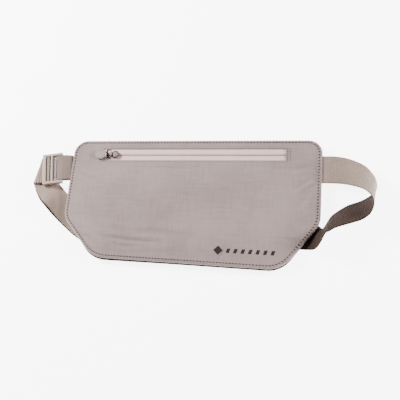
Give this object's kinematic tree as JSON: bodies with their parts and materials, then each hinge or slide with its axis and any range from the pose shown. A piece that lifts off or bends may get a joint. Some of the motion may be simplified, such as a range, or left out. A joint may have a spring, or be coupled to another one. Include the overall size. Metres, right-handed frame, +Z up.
{
  "type": "money belt",
  "caption": "Flat zipped waist pouch with a woven elastic belt that passes behind it to a side-release ladder buckle.",
  "frame": {"origin": "middle of the bounding box, on the surface that the belt lies on", "axes": "+X along the pouch away from the buckle, +Y towards the pouch's zip edge, +Z up from the surface, out of the pouch's front"},
  "size_m": [0.3643, 0.137, 0.0272],
  "materials": {
    "pouch_fabric": "fine plain-woven taupe polyester",
    "backing_fabric": "soft knitted backing, slightly darker",
    "lining": "thin coated lining",
    "thread": "twisted sewing thread",
    "ink": "flat printed ink",
    "zip_tape": "smooth rosy beige zip tape",
    "zip_coil": "nylon coil",
    "stop_metal": "small pressed stops",
    "slider_enamel": "beige enamelled slider with a dark worn rim",
    "wire": "dark blackened wire with a bright gloss",
    "pull_plastic": "moulded taupe rubbery plastic",
    "buckle_plastic": "moulded taupe plastic",
    "belt_elastic": "woven elastic, warm taupe"
  },
  "bodies": {
    "root": {"front_panel": "pouch_fabric", "back_panel": "backing_fabric", "edge_fold": "pouch_fabric", "front_lining": "lining", "back_lining": "lining", "inner_divider": "lining", "edge_stitching": "thread", "printed_mark": "ink", "zip_tape_upper": "zip_tape", "zip_tape_lower": "zip_tape", "zip_coil_upper": "zip_coil", "zip_coil_lower": "zip_coil", "zip_closed_stop": "stop_metal", "zip_open_stop": "stop_metal", "zip_window_stitching": "thread", "buckle_tab": "pouch_fabric", "buckle_tab_stitching": "thread", "buckle_receiver": "buckle_plastic", "elastic_belt": "belt_elastic", "belt_tail": "belt_elastic", "belt_tail_hem": "belt_elastic", "belt_anchor_stitching": "thread"},
    "slider": {"zip_slider": "slider_enamel"},
    "pull_link": {"zip_pull_link": "wire"},
    "pull_tab": {"zip_pull_tab": "pull_plastic"},
    "insert": {"buckle_insert": "buckle_plastic", "belt_adjuster_loop": "belt_elastic"},
    "release_plate": {"buckle_release_plate": "buckle_plastic"}
  },
  "joints": [
    {"name": "zip_slide", "type": "slide", "parent": "root", "child": "slider", "axis": [1, 0, 0], "range_m": [0, 0.172]},
    {"name": "pull_link_swing", "type": "hinge", "parent": "slider", "child": "pull_link", "pos_m": [-0.0971, 0.0515, 0.01025], "axis": [0, 1, 0], "range_deg": [0, 110]},
    {"name": "pull_tab_swing", "type": "hinge", "parent": "pull_link", "child": "pull_tab", "pos_m": [-0.1019, 0.0515, 0.01025], "axis": [0, 1, 0], "range_deg": [0, 65]},
    {"name": "buckle_release", "type": "slide", "parent": "root", "child": "insert", "axis": [-0.9903, -0.1392, 0], "range_m": [0, 0.018]},
    {"name": "release_press", "type": "hinge", "parent": "insert", "child": "release_plate", "pos_m": [-0.16184, 0.03428, 0.00845], "axis": [-0.1392, 0.9903, 0], "range_deg": [0, 6], "stiffness_Nm_per_rad": 0.05}
  ]
}
